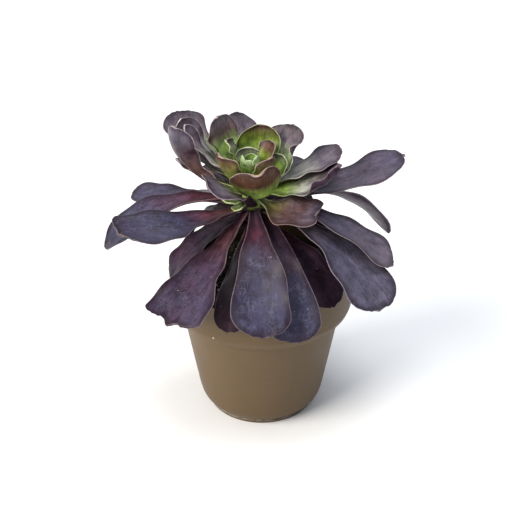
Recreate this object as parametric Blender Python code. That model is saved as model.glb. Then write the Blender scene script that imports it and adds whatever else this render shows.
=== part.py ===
"""Potted tree aeonium: one dark rosette on a short woody stem, in a 13 cm nursery pot.

Metres, +Z up. The origin is the middle of the pot's underside, on the surface that the pot stands on.
+X is to the right and -Y is to the front.
"""

import math

import bmesh
import bpy
import numpy as np
from mathutils import Matrix

MM = 0.001

# Driving dimensions, in millimetres.
GAP = 0.3
LEAF_GAP = 0.35
POT_HEIGHT = 114.0
POT_RIM_RADIUS = 67.6
POT_COLLAR_RADIUS = 66.6
POT_COLLAR_FOOT = 84.0
POT_COLLAR_EASE = (1.5, 4.0)
POT_LIP = (0.6, 2.0)
POT_CREASE = 78.2
POT_CREASE_RADIUS = 58.2
POT_TAPER = 0.178
POT_CORNER = 5.6
POT_CORNER_TOP = 26.5
POT_FOOT_RADIUS = 39.2
POT_FOOT_HEIGHT = 2.9
POT_WALL = 1.5
POT_RECESS = 2.5
POT_FOOT_RING = 3.0
POT_FOOT_SLOPE = 0.5
POT_HUB_RADIUS = 14.0
POT_HUB_SLOPE = 1.0
POT_FLOOR_EDGE = (1.0, 2.0)
POT_SIDES = 64
DRAIN_COUNT = 8
DRAIN_RADIUS = 4.0
DRAIN_CIRCLE = 25.0
DRAIN_SIDES = 16
DRAIN_DEPTH = 8.0
SOIL_TOP = 100.0
SOIL_MOUND = (1.2, 1.5)
SOIL_SIDES = 48
STEM_FOOT = 60.0
STEM_RADIUS = 8.0
STEM_SIDES = 16
STEM_BEND = 102.0
STEM_TOP = 193.0
STEM_RINGS = (STEM_FOOT, 80, STEM_BEND, 120, 140, 156, 166, 174, 181, 186, 190, STEM_TOP)
STEM_TAPER = ((SOIL_TOP, 150, 172, 186, STEM_TOP), (STEM_RADIUS, 7.5, 7.0, 5.0, 2.0))
APEX = (-8.0, -2.0, 192.0)
LEAF_THICKNESS = (2.8, 1.6)
GREEN_DEPTH = 16.0

# Shares of a leaf's length where its cross-section is drawn, and the corners of that section: the share
# of the half width, and which side of the blade (1 upper, -1 lower, 0 on the edge).
STATIONS = np.array([0, 0.1, 0.22, 0.36, 0.5, 0.64, 0.77, 0.88, 0.95, 0.985])
SECTION = ((-1, 0), (-0.62, 1), (0, 1), (0.62, 1), (1, 0), (0.62, -1), (0, -1), (-0.62, -1))


def leaf(turn, height, length, width, rise, roll=(0, 0), sweep=0, bend=1, neck=0.2, broad=0.8, blunt=2,
         cup=(35, 8), thick=LEAF_THICKNESS):
    """A leaf's dimensions, in millimetres and degrees.

    turn is its azimuth and height the place on the stem that it grows from. rise is its elevation at the
    stem and at the tip, and bend is how late it changes from one to the other. roll turns the blade about
    its own length and sweep carries it sideways. neck is the width at the stem as a share of the full
    width, broad is where along the length it is widest, and blunt squares off the tip. cup is half the
    angle that the cross-section curls through.
    """
    return dict(turn=turn, height=height, length=length, width=width, rise=rise, roll=roll, sweep=sweep,
                bend=bend, neck=neck, broad=broad, blunt=blunt, cup=cup, thick=thick)


# turn, height, length, width, (rise at the stem, rise at the tip)
LEAVES = {
    # hanging and spreading leaves that face the front and the sides
    "lower_leaf_01": leaf(232, 161, 98, 50, (-31, -28), roll=(-21, -1), sweep=3, bend=1.1,
                          neck=0.16, broad=0.92, blunt=2.6),
    "lower_leaf_02": leaf(274, 160, 99, 41, (2, -66), roll=(-16, -14), sweep=2, bend=0.8, neck=0.22,
                          broad=0.83),
    "lower_leaf_03": leaf(291, 156.5, 101, 36, (9, -68), roll=(1, -26), bend=0.6, neck=0.32,
                          broad=0.88),
    "lower_leaf_04": leaf(258, 153.5, 86, 23, (-8, -59), roll=(1, 10), sweep=-6, bend=0.8,
                          neck=0.27, broad=0.88),
    "lower_leaf_05": leaf(316, 153, 80, 38, (-18, -43), roll=(-4, 4), sweep=-4, neck=0.23, broad=0.79),
    "lower_leaf_06": leaf(329, 159.5, 114, 47, (6, -41), roll=(10, 7), sweep=-28, bend=0.8,
                          neck=0.17, broad=0.84),
    "lower_leaf_07": leaf(340, 165, 102, 37, (9, -37), roll=(5, 7), sweep=-5, bend=0.8, neck=0.19,
                          broad=0.85),
    "lower_leaf_08": leaf(28, 163, 111, 25, (10, -60), roll=(21, 40), sweep=-41, bend=1.3,
                          neck=0.26, broad=0.76),
    "lower_leaf_09": leaf(8, 169.5, 104, 45, (-4, 33), roll=(11, -2), sweep=-2, neck=0.12, broad=0.81),
    "lower_leaf_10": leaf(12, 177, 62, 37, (11, 38), roll=(13, 0), sweep=-6, bend=1.1, neck=0.22,
                          broad=0.83),
    "lower_leaf_11": leaf(345, 173.5, 61, 36, (2, 59), roll=(4, 5), sweep=5, bend=1.2, neck=0.27,
                          broad=0.75),
    "lower_leaf_12": leaf(315, 171, 59, 42, (-7, 26), roll=(5, -13), sweep=-23, bend=1.2, neck=0.22,
                          broad=0.84, blunt=3),
    "lower_leaf_13": leaf(251, 172, 51, 33, (18, 46), roll=(6, 14), sweep=-53, bend=0.9, neck=0.34,
                          broad=0.74, blunt=3),
    "lower_leaf_14": leaf(227, 169.5, 21, 13, (23, 14), roll=(-9, 6), sweep=2, bend=1.1, neck=0.4,
                          broad=0.73),
    "lower_leaf_15": leaf(237, 168, 14, 11, (17, -24), roll=(-12, -18), sweep=-12, bend=1.2,
                          neck=0.32, broad=0.71),
    "lower_leaf_16": leaf(182, 168, 112, 34, (11, -53), roll=(-4, 19), sweep=-6, neck=0.19, broad=0.77),
    "lower_leaf_17": leaf(160, 162, 87, 28, (0, -7), roll=(-15, 13), sweep=2, bend=1.1, neck=0.17,
                          broad=0.84),
    "lower_leaf_18": leaf(210, 163.5, 98, 52, (-5, 14), roll=(-8, 3), sweep=9, neck=0.15, broad=0.82),
    "lower_leaf_19": leaf(196, 156, 70, 33, (-17, -58), roll=(13, -11), sweep=13, bend=1.1,
                          neck=0.23, broad=0.81),
    "lower_leaf_20": leaf(208, 151, 61, 31, (-18, -53), roll=(6, -4), sweep=-2, bend=1.2, neck=0.23,
                          broad=0.77),
    # rosette
    "rosette_leaf_01": leaf(151, 177, 74, 38, (18, 49), roll=(-8, -8), sweep=-26, neck=0.2, broad=0.85),
    "rosette_leaf_02": leaf(167, 180.5, 63, 30, (20, 73), roll=(-7, 8), sweep=-12, bend=1.2,
                          neck=0.21, broad=0.83),
    "rosette_leaf_03": leaf(186, 175, 74, 31, (12, 94), roll=(-13, -48), sweep=-7, bend=1.3,
                          neck=0.28, broad=0.81, cup=(45, 45)),
    "rosette_leaf_04": leaf(182, 183.5, 57, 15, (22, 72), roll=(-21, 10), sweep=-20, bend=1.1,
                          neck=0.33, broad=0.88, cup=(45, 45)),
    "rosette_leaf_05": leaf(163, 171, 53, 18, (13, 35), roll=(-13, -16), sweep=6, neck=0.28,
                          broad=0.85),
    "rosette_leaf_06": leaf(141, 185, 46, 33, (35, 86), roll=(13, 2), sweep=14, neck=0.21, broad=0.79),
    "rosette_leaf_07": leaf(104, 179, 53, 30, (31, 60), roll=(-2, -33), neck=0.24, broad=0.79),
    "rosette_leaf_08": leaf(73, 185, 36, 33, (37, 88), roll=(-1, -21), sweep=3, neck=0.28,
                          broad=0.55, cup=(40, 40)),
    "rosette_leaf_09": leaf(42, 180.5, 47, 34, (19, 69), roll=(-15, -1), sweep=9, bend=1.1,
                          neck=0.3, broad=0.78),
    "rosette_leaf_10": leaf(30, 190, 23, 11, (45, 61), roll=(-3, -3), neck=0.39, broad=0.71,
                          cup=(40, 40)),
    "rosette_leaf_11": leaf(99, 188, 17, 21, (42, 94), roll=(-8, 1), sweep=-3, neck=0.33,
                          broad=0.67, cup=(40, 40)),
    "rosette_leaf_12": leaf(156, 188, 26, 22, (44, 75), roll=(-23, -14), sweep=2, neck=0.26,
                          broad=0.75, cup=(40, 40)),
    "rosette_leaf_13": leaf(8, 185.5, 24, 25, (11, 84), roll=(-20, -33), sweep=10, bend=1.2,
                          neck=0.3, broad=0.66, cup=(40, 40)),
    "rosette_leaf_14": leaf(309, 183, 30, 24, (28, 92), roll=(-5, -10), sweep=-2, bend=1.1,
                          neck=0.3, broad=0.68, cup=(50, 50)),
    "rosette_leaf_15": leaf(278, 175, 55, 41, (5, 78), roll=(15, -19), sweep=-6, bend=0.9,
                          neck=0.26, broad=0.63, cup=(50, 55)),
    "rosette_leaf_16": leaf(220, 181, 36, 26, (30, 77), roll=(1, 4), sweep=9, neck=0.3, broad=0.78,
                          cup=(50, 50)),
    # bud
    "bud_leaf_1": leaf(190, 190, 13, 11, (55, 100), neck=0.4, broad=0.65, cup=(50, 50), thick=(1.6, 1)),
    "bud_leaf_2": leaf(265, 190, 11, 9, (60, 100), neck=0.4, broad=0.65, cup=(50, 50), thick=(1.6, 1)),
    "bud_leaf_3": leaf(341, 190, 13, 9, (60, 100), roll=(-2, 0), neck=0.4, broad=0.65, cup=(50, 50),
                          thick=(1.6, 1)),
    "bud_leaf_4": leaf(65, 191, 11, 9, (60, 100), neck=0.4, broad=0.65, cup=(50, 50), thick=(1.6, 1)),
    # hanging leaves behind
    "back_leaf_01": leaf(42, 156, 76, 34, (-5, -66), roll=(1, 2), bend=1.1, neck=0.2),
    "back_leaf_02": leaf(68, 164, 85, 41, (4, -67), roll=(-2, 5), sweep=2, neck=0.17),
    "back_leaf_03": leaf(89, 154.5, 85, 36, (-6, -64), roll=(0, -3), sweep=1, neck=0.2, broad=0.81),
    "back_leaf_04": leaf(117, 161, 64, 37, (7, -45), roll=(2, -1), bend=1.1, neck=0.2),
    "back_leaf_05": leaf(150, 157.5, 57, 31, (-4, -67), roll=(-2, 8), sweep=9, bend=1.1, neck=0.21,
                          broad=0.78),
    "back_leaf_06": leaf(84, 169.5, 74, 36, (10, -22), neck=0.2),
    "back_leaf_07": leaf(122, 171.5, 47, 34, (7, 3), roll=(4, 6), sweep=1, neck=0.22),
    "back_leaf_08": leaf(37, 171.5, 46, 28, (6, 15), roll=(-6, -22), sweep=2, neck=0.24, broad=0.81),
    "back_leaf_09": leaf(166, 153.5, 49, 30, (-11, -76), roll=(1, 6), neck=0.22, broad=0.79),
    "back_leaf_10": leaf(5, 154, 66, 32, (-11, -63), roll=(0, -1), neck=0.22),
}


def clear_scene():
    for obj in list(bpy.data.objects):
        bpy.data.objects.remove(obj, do_unlink=True)


def material(name, colour, roughness):
    """A plain Principled material."""
    made = bpy.data.materials.new(name)
    made.use_nodes = True
    shader = made.node_tree.nodes["Principled BSDF"]
    shader.inputs["Base Color"].default_value = (*colour, 1)
    shader.inputs["Roughness"].default_value = roughness
    shader.inputs["Metallic"].default_value = 0
    return made


def place(name, shape, finish, sharp_angle=40):
    """Turn a bmesh, in millimetres, into a smooth object in metres."""
    bmesh.ops.scale(shape, vec=(MM, MM, MM), verts=shape.verts)
    bmesh.ops.recalc_face_normals(shape, faces=shape.faces)
    mesh = bpy.data.meshes.new(name)
    shape.to_mesh(mesh)
    shape.free()
    mesh.shade_smooth()
    mesh.set_sharp_from_angle(angle=math.radians(sharp_angle))
    mesh.materials.append(finish)
    made = bpy.data.objects.new(name, mesh)
    bpy.context.scene.collection.objects.link(made)
    return made


def turned(name, profile, sides, finish):
    """Spin an outline of (radius, height) points, from the axis back to the axis, about Z."""
    shape = bmesh.new()
    corners = [shape.verts.new((radius, 0, height)) for radius, height in profile]
    edges = [shape.edges.new(pair) for pair in zip(corners, corners[1:])]
    bmesh.ops.spin(shape, geom=corners + edges, cent=(0, 0, 0), axis=(0, 0, 1), angle=math.tau,
                   steps=sides, use_merge=True)
    bmesh.ops.remove_doubles(shape, verts=shape.verts, dist=MM)
    return place(name, shape, finish)


def lofted(name, rings, finish):
    """Skin a row of closed rings and close both ends."""
    shape = bmesh.new()
    loops = []
    for ring in rings:
        corners = [shape.verts.new(point) for point in ring]
        loops.append([shape.edges.new((corners[i - 1], corners[i])) for i in range(len(corners))])
    for first, second in zip(loops, loops[1:]):
        bmesh.ops.bridge_loops(shape, edges=first + second)
    bmesh.ops.edgeloop_fill(shape, edges=loops[0])
    bmesh.ops.edgeloop_fill(shape, edges=loops[-1])
    return place(name, shape, finish)


def pot_outside():
    """The outer wall from the foot to the rim.

    The tapered wall is a straight line in radius against height. Near the foot it draws in by
    POT_CORNER times (1 - u) ** 6, where u runs from 0 at the foot to 1 at the top of the corner. A
    slanted shoulder then leads out to the collar.
    """
    outline = [(POT_FOOT_RADIUS, 0)]
    for share in (0, 0.04, 0.1, 0.18, 0.3, 0.45, 0.65, 1):
        height = POT_FOOT_HEIGHT + share * (POT_CORNER_TOP - POT_FOOT_HEIGHT)
        outline.append((taper_radius(height) - POT_CORNER * (1 - share) ** 6, height))
    outline.append((taper_radius(POT_CREASE), POT_CREASE))
    outline.append((POT_COLLAR_RADIUS - POT_COLLAR_EASE[0], POT_COLLAR_FOOT))
    outline.append((POT_COLLAR_RADIUS, POT_COLLAR_FOOT + POT_COLLAR_EASE[1]))
    outline.append((POT_COLLAR_RADIUS + POT_LIP[0], POT_HEIGHT - POT_LIP[1]))
    outline.append((POT_RIM_RADIUS, POT_HEIGHT))
    return outline


def taper_radius(height):
    return POT_CREASE_RADIUS - POT_TAPER * (POT_CREASE - height)


def pot_inside():
    """The inner wall from the rim down to the floor, one wall thickness in from the outside."""
    floor = POT_RECESS + POT_WALL
    edge_in, edge_up = POT_FLOOR_EDGE
    wall = [(radius - POT_WALL, height) for radius, height in reversed(pot_outside())]
    return [point for point in wall if point[1] > floor + edge_up] + [(POT_FOOT_RADIUS - edge_in, floor)]


def drain_cutter():
    """Upright pegs on a circle, which cut the drain holes."""
    shape = bmesh.new()
    for step in range(DRAIN_COUNT):
        turn = Matrix.Rotation(math.tau * step / DRAIN_COUNT, 4, "Z")
        peg = turn @ Matrix.Translation((DRAIN_CIRCLE, 0, POT_RECESS))
        bmesh.ops.create_cone(shape, cap_ends=True, segments=DRAIN_SIDES, radius1=DRAIN_RADIUS,
                              radius2=DRAIN_RADIUS, depth=DRAIN_DEPTH, matrix=peg)
    cutter = place("drain_cutter", shape, material("cutter", (0.5, 0.5, 0.5), 0.5))
    cutter.hide_render = True
    cutter.display_type = "WIRE"
    return cutter


def make_pot():
    """The pot: a turned shell that stands on a hub and a foot ring, with drain holes between them."""
    ring = POT_FOOT_RADIUS - POT_FOOT_RING
    under = [(0, 0), (POT_HUB_RADIUS, 0), (POT_HUB_RADIUS + POT_HUB_SLOPE, POT_RECESS),
             (ring, POT_RECESS), (ring + POT_FOOT_SLOPE, 0)]
    inside = pot_inside()
    profile = under + pot_outside() + inside + [(0, inside[-1][1])]
    pot = turned("pot", profile, POT_SIDES, material("pot_plastic", (0.23, 0.16, 0.105), 0.55))
    cut = pot.modifiers.new("drain_holes", "BOOLEAN")
    cut.operation = "DIFFERENCE"
    cut.solver = "EXACT"
    cut.object = drain_cutter()
    return pot


def stem_radius(height):
    """The stem's radius, which narrows slowly up to the rosette and then quickly to the bud."""
    return np.interp(height, *STEM_TAPER)


def stem_middle(height):
    """The stem stands upright in the soil and leans from there to the bud."""
    lean = max(0.0, (height - STEM_BEND) / (APEX[2] - STEM_BEND))
    return APEX[0] * lean, APEX[1] * lean, height


def make_soil():
    """The potting mix: it fills the pot to a gap below the rim, with a socket that the stem stands in."""
    wall = [(radius - GAP, height) for radius, height in reversed(pot_inside()) if height < SOIL_TOP]
    floor = wall[0][1] + GAP
    collar = [POT_COLLAR_FOOT + POT_COLLAR_EASE[1], POT_HEIGHT - POT_LIP[1]]
    edge = np.interp(SOIL_TOP, collar, [POT_COLLAR_RADIUS, POT_COLLAR_RADIUS + POT_LIP[0]]) - POT_WALL - GAP
    socket = STEM_RADIUS + GAP
    profile = [(0, floor), (wall[0][0], floor)] + wall[1:]
    profile += [(edge, SOIL_TOP), (edge / 2, SOIL_TOP + SOIL_MOUND[0]), (socket, SOIL_TOP + SOIL_MOUND[1])]
    profile += [(socket, STEM_FOOT - GAP), (0, STEM_FOOT - GAP)]
    return turned("soil", profile, SOIL_SIDES, material("potting_mix", (0.035, 0.025, 0.02), 0.95))


def make_stem():
    """The stem: round rings that follow its lean."""
    rings = []
    for height in STEM_RINGS:
        x, y, z = stem_middle(height)
        radius = stem_radius(height)
        angles = [math.tau * step / STEM_SIDES for step in range(STEM_SIDES)]
        rings.append([(x + radius * math.cos(a), y + radius * math.sin(a), z) for a in angles])
    return lofted("stem", rings, material("stem_bark", (0.16, 0.11, 0.075), 0.8))


def midline(form):
    """Places and frames along a leaf that grows towards +X: middle, direction, upper side and sideways.

    The elevation and the azimuth change smoothly from stem to tip, and each place is the running sum of
    the directions before it. The roll then turns the upper side about the direction.
    """
    fine = np.linspace(0, 1, 121)
    rise = np.radians(form["rise"][0] + (form["rise"][1] - form["rise"][0]) * fine ** form["bend"])
    turn = np.radians(form["sweep"] * fine ** 1.5)
    roll = np.radians(form["roll"][0] + (form["roll"][1] - form["roll"][0]) * fine)[:, None]
    along = np.stack([np.cos(rise) * np.cos(turn), np.cos(rise) * np.sin(turn), np.sin(rise)], axis=1)
    level = np.stack([-np.sin(rise) * np.cos(turn), -np.sin(rise) * np.sin(turn), np.cos(rise)], axis=1)
    side = np.cross(level, along)
    upper = level * np.cos(roll) + side * np.sin(roll)
    across = side * np.cos(roll) - level * np.sin(roll)
    steps = (along[1:] + along[:-1]) / 2 * form["length"] / (len(fine) - 1)
    start = stem_radius(form["height"]) + LEAF_GAP
    start += form["thick"][0] / 2 * abs(math.sin(rise[0]))
    middle = np.vstack([[0, 0, 0], np.cumsum(steps, axis=0)]) + (start, 0, 0)
    return [np.stack([np.interp(STATIONS, fine, track[:, axis]) for axis in range(3)], axis=1)
            for track in (middle, upper, across)]


def half_width(form):
    """Half the blade's width at each station: a smooth swell from the neck, then a round tip."""
    swell = np.clip(STATIONS / form["broad"], 0, 1)
    swell = form["neck"] + (1 - form["neck"]) * swell ** 2 * (3 - 2 * swell)
    end = np.clip((STATIONS - form["broad"]) / (1 - form["broad"]), 0, 1)
    return form["width"] / 2 * swell * np.sqrt(1 - end ** form["blunt"])


def leaf_rings(form):
    """Closed rings along the leaf: each is a lens bent into a shallow gutter, with sharp edges."""
    middle, upper, across = midline(form)
    half = half_width(form)
    thick = form["thick"][0] + (form["thick"][1] - form["thick"][0]) * STATIONS ** 0.7
    thick *= np.minimum(1, half / 4)
    cup = np.radians(form["cup"][0] + (form["cup"][1] - form["cup"][0]) * STATIONS)
    corners = []
    for share, side in SECTION:
        skin = side * thick / 2 * math.sqrt(1 - share ** 4)
        out = half * np.sin(cup * share) / cup - skin * np.sin(cup * share)
        lift = half * (1 - np.cos(cup * share)) / cup + skin * np.cos(cup * share)
        corners.append(middle + out[:, None] * across + lift[:, None] * upper)
    return np.stack(corners, axis=1)


def leaf_colour(height):
    """Green at the heart of the rosette and dark purple on the older leaves below it."""
    age = min(1.0, max(0.0, (APEX[2] - height) / GREEN_DEPTH))
    green = (0.12, 0.22, 0.04)
    purple = (0.055, 0.035, 0.06)
    return tuple(g + (p - g) * age for g, p in zip(green, purple))


def make_leaf(name, form, stem):
    """One leaf, carried by the stem: its own origin is where its middle line meets the stem's."""
    finish = material(name + "_skin", leaf_colour(form["height"]), 0.5)
    blade = lofted(name, leaf_rings(form), finish)
    blade.location = [value * MM for value in stem_middle(form["height"])]
    blade.rotation_euler = (0, 0, math.radians(form["turn"]))
    blade.parent = stem
    return blade


def main():
    clear_scene()
    make_pot()
    make_soil()
    stem = make_stem()
    for name, form in LEAVES.items():
        make_leaf(name, form, stem)


main()
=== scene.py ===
# %% [markdown]
# # A potted tree aeonium
# A tree aeonium is a succulent that carries one rosette of fleshy leaves on a bare woody stem. The young
# leaves in the middle stand up and are green, and the old ones underneath are dark purple and hang down
# over the pot. This lesson lays the fine surfaces of the plant over a plain solid model that is already
# measured: each leaf, the stem, the soil and the pot stand for one solid of that model and keep
# its place and size. Only the loose grains on the soil are added.
#
# The first cell loads that solid model. All lengths in the lesson are in millimetres until a piece is
# put into the scene, which is in metres. The finishes read places in metres too.

import math

import bpy
import numpy as np
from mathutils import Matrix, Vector


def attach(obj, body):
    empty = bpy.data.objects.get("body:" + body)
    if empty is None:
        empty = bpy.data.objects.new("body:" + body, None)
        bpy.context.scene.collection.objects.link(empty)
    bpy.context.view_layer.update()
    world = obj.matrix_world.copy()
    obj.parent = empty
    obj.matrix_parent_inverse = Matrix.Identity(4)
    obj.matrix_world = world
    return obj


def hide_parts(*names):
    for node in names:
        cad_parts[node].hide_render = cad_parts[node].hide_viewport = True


MM = 0.001
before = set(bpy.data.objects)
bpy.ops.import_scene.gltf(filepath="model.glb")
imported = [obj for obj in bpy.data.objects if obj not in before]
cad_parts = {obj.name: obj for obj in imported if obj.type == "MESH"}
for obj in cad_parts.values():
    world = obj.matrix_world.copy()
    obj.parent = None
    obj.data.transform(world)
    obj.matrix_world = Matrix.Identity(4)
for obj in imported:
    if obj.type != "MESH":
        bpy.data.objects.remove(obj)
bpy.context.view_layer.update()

# %% [markdown]
# ## Camera and light
# The plant stands on a plain white table top and is seen from a little above. A long lens keeps the pot
# from tapering too much. The light is that of a bright room with a large window on the left: an even
# white sky gives the soft shade between the leaves, and two broad lamps give the leaves their shape. A
# broad lamp was chosen over a small one because a small lamp would give hard shadows.

# %% Camera
LENS = 75.57
SENSOR_WIDTH = 36
DISTANCE = 0.80
LOOK_AT = Vector((0.0005, 0.0, 0.1162))
ELEVATION = math.radians(30)

camera = bpy.data.objects.new("camera", bpy.data.cameras.new("camera"))
bpy.context.scene.collection.objects.link(camera)
away = Vector((0, -math.cos(ELEVATION), math.sin(ELEVATION)))
camera.location = LOOK_AT + away * DISTANCE
camera.rotation_euler = (-away).to_track_quat("-Z", "Y").to_euler()
camera.data.lens = LENS
camera.data.sensor_width = SENSOR_WIDTH
bpy.context.scene.camera = camera
bpy.context.scene.view_settings.view_transform = "Standard"
print("camera:", round(DISTANCE / MM), "mm away, with a lens of", LENS, "mm")

# %% Light
SKY_COLOUR = (0.90, 0.97, 1.08, 1)
SKY_STRENGTH = 0.44
LAMP_SIZE = 2.0

sky = bpy.data.worlds.new("sky")
bpy.context.scene.world = sky
sky.use_nodes = True
sky.node_tree.nodes["Background"].inputs["Color"].default_value = SKY_COLOUR
sky.node_tree.nodes["Background"].inputs["Strength"].default_value = SKY_STRENGTH


def lamp(name, place, aim, watts, colour):
    """A square lamp that points at a place."""
    light = bpy.data.lights.new(name, "AREA")
    light.size = LAMP_SIZE
    light.energy = watts
    light.color = colour
    made = bpy.data.objects.new(name, light)
    made.location = place
    made.rotation_euler = (Vector(aim) - Vector(place)).to_track_quat("-Z", "Y").to_euler()
    bpy.context.scene.collection.objects.link(made)
    print("lamp:", name, watts, "W")


lamp("window", (-2.3, -1.5, 1.7), (0, 0, 0.12), 152, (1.0, 0.95, 0.87))
lamp("ceiling", (0.2, -0.2, 3.4), (0, 0, 0.1), 76, (0.98, 0.99, 1.0))

# %% [markdown]
# ## Putting a surface into the scene
# Almost every piece here is one closed skin: a row of rings, each with the same number of points, joined
# by four-sided faces and shut at both ends by a fan of triangles round a single point. A leaf, the stem,
# the pot and the soil are all made this way, so one function turns rings into faces for all of them. The
# rings are worked out as whole arrays, which is quicker than moving one point at a time.

# %% Rings to a closed skin


def closed_skin(rings, first, last):
    """Points and faces of a row of rings, (rings, around, 3), that is shut at two end points.

    The point of ring i and step j is number i times the ring's size plus j. A face joins steps j and
    j + 1 of two neighbouring rings, and points outwards when the rings turn to the right about the
    direction from the first ring to the last.
    """
    count, around = rings.shape[:2]
    points = np.vstack([rings.reshape(-1, 3), first, last])
    step = np.arange(around)
    after = (step + 1) % around
    start = (np.arange(count - 1) * around)[:, None]
    quads = np.stack([start + step, start + after, start + around + after, start + around + step], axis=-1)
    top = (count - 1) * around
    near = np.stack([np.full(around, count * around), after, step], axis=-1)
    far = np.stack([np.full(around, count * around + 1), top + step, top + after], axis=-1)
    return points, quads.reshape(-1, 4).tolist() + near.tolist() + far.tolist()


# %% Pieces


def put(name, points, faces, finish, attributes=None):
    """A smooth mesh object at the origin, from points in millimetres.

    attributes are facts to be stored with it: by name, one number or one vector for each point.
    """
    mesh = bpy.data.meshes.new(name)
    mesh.from_pydata((np.asarray(points) * MM).tolist(), [], faces)
    for key, values in (attributes or {}).items():
        values = np.asarray(values, dtype=np.float32)
        kind, slot = {1: ("FLOAT", "value"), 2: ("FLOAT_VECTOR", "vector")}[values.ndim]
        layer = mesh.attributes.new(key, kind, "POINT")
        layer.data.foreach_set(slot, values.ravel())
    mesh.shade_smooth()
    mesh.materials.append(finish)
    made = bpy.data.objects.new(name, mesh)
    bpy.context.scene.collection.objects.link(made)
    return made


def stands_for(made, nodes):
    """Hangs a piece on the root and hides the solids whose place it takes."""
    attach(made, "root")
    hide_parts(*nodes)


# %% Soft noise
LATTICE = 16


def smooth(share):
    """0 below 0, 1 above 1, and an even S-shaped rise in between: 3 x squared less 2 x cubed."""
    share = np.clip(share, 0, 1)
    return share * share * (3 - 2 * share)


def grain(points, size, seed):
    """Smooth noise from -1 to 1 at each point.

    A lattice with cells of that size holds a random value at each crossing. The noise at a point blends
    the eight values round it, with the S-shaped rise along each side of the cell.
    """
    lattice = np.random.default_rng(seed).uniform(-1, 1, (LATTICE, LATTICE, LATTICE))
    cell = np.asarray(points, dtype=float) / size
    low = np.floor(cell).astype(int)
    part = smooth(cell - low)
    total = np.zeros(part.shape[:-1])
    for corner in np.ndindex(2, 2, 2):
        at = (low + corner) % LATTICE
        weight = np.prod(np.where(np.array(corner) == 1, part, 1 - part), axis=-1)
        total += weight * lattice[at[..., 0], at[..., 1], at[..., 2]]
    return total


# %% [markdown]
# ## Finishes
# A finish is a small network of nodes. It could be drawn by hand in the shader editor, but a few helpers
# keep it readable as code: they add one node with its settings and inputs, mix two colours, and turn a
# pattern's value into a share between 0 and 1. In all of them a scale is in cells per metre, so noise of
# scale 500 has lumps of about 2 mm.

# %% Nodes


def new_finish(name, roughness, gloss=0.5):
    """An empty material: its node tree, and its shader with a plain roughness and gloss."""
    made = bpy.data.materials.new(name)
    made.use_nodes = True
    shader = made.node_tree.nodes["Principled BSDF"]
    shader.inputs["Roughness"].default_value = roughness
    shader.inputs["Specular IOR Level"].default_value = gloss
    return made, made.node_tree, shader


def wire(tree, kind, inputs, **settings):
    """One node. Each input is a value or another node's output, by the socket's name or number."""
    made = tree.nodes.new("ShaderNode" + kind)
    for key, value in settings.items():
        setattr(made, key, value)
    for key, value in inputs.items():
        if isinstance(value, bpy.types.NodeSocket):
            tree.links.new(value, made.inputs[key])
        else:
            made.inputs[key].default_value = value
    return made


def mixed(tree, share, first, second, how="MIX"):
    """The first colour, with that share of the second one laid over it."""
    colours = [(*c, 1) if isinstance(c, tuple) else c for c in (first, second)]
    return wire(tree, "Mix", {0: share, 6: colours[0], 7: colours[1]},
                data_type="RGBA", blend_type=how).outputs[2]


def ranged(tree, value, low, high, to_low=0.0, to_high=1.0):
    """A value between low and high, carried smoothly to the new range."""
    return wire(tree, "MapRange", {0: value, 1: low, 2: high, 3: to_low, 4: to_high},
                interpolation_type="SMOOTHSTEP").outputs[0]


def times(tree, first, second):
    """Two values multiplied."""
    return wire(tree, "Math", {0: first, 1: second}, operation="MULTIPLY").outputs[0]


# %% Patterns


def place_in(tree):
    """The place of each point on the piece, in metres."""
    return wire(tree, "TexCoord", {}).outputs["Object"]


def height_of(tree, place):
    """How high a place is, in metres."""
    return wire(tree, "SeparateXYZ", {0: place}).outputs[2]


def stretched(tree, place, scale):
    """A place, multiplied along each axis by that scale."""
    return wire(tree, "Mapping", {"Vector": place, "Scale": scale}).outputs[0]


def noise(tree, place, scale, detail=3.0, roughness=0.5):
    """Cloudy noise from 0 to 1. detail is how many finer sizes are added, roughness how strong they are."""
    return wire(tree, "TexNoise", {"Vector": place, "Scale": scale, "Detail": detail,
                                   "Roughness": roughness}).outputs["Fac"]


def any_of(tree, colour):
    """One random value from a random colour."""
    return wire(tree, "SeparateColor", {0: colour}).outputs[0]


def specks(tree, place, scale, edge, rare):
    """Small round dots, one in some cells: edge is where a dot fades out, rare which cells have one."""
    cells = wire(tree, "TexVoronoi", {"Vector": place, "Scale": scale})
    dot = ranged(tree, cells.outputs["Distance"], *edge, 1.0, 0.0)
    return times(tree, dot, ranged(tree, any_of(tree, cells.outputs["Color"]), *rare))


def surface(tree, shader, colour, roughness):
    """Ties a colour and a roughness to the shader."""
    tree.links.new(colour, shader.inputs["Base Color"])
    tree.links.new(roughness, shader.inputs["Roughness"])


def bumped(tree, shader, height, distance, strength, under=None):
    """Raises the surface by the height pattern times a distance in metres."""
    inputs = {"Height": height, "Distance": distance, "Strength": strength}
    if under is not None:
        inputs["Normal"] = under
    relief = wire(tree, "Bump", inputs).outputs[0]
    tree.links.new(relief, shader.inputs["Normal"])
    return relief


# %% [markdown]
# ### Leaf skin
# A leaf's skin has six layers. Its own colour runs from the green or wine red of the stalk to the purple
# of the blade, with mottling and fine streaks along the leaf. Over it lie a blue-grey bloom of wax in soft
# patches, a net of paler lines round darker cells where the wax has cracked, a few tiny white specks, a
# band of painted shade inside the margin, and the thin pale line of the margin itself, which is partly its
# own colour and partly painted light shining through it.
#
# Painting each leaf would give the closest likeness, but it would need fifty pictures. Instead, the shape
# of the leaf stores four facts at each point, and one network reads them: "shade" is the leaf's own
# colour, "flat" is how far the point lies along and across the blade in metres, so that streaks and net
# follow the leaf, "rim" is its distance from the margin in millimetres, and "wax" is how much bloom it has.

# %% Layers of a leaf skin
LEAF_GLOSS = 0.16


def fact(tree, name, output):
    """What the leaf's shape has stored at each point."""
    return wire(tree, "Attribute", {}, attribute_name=name).outputs[output]


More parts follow.
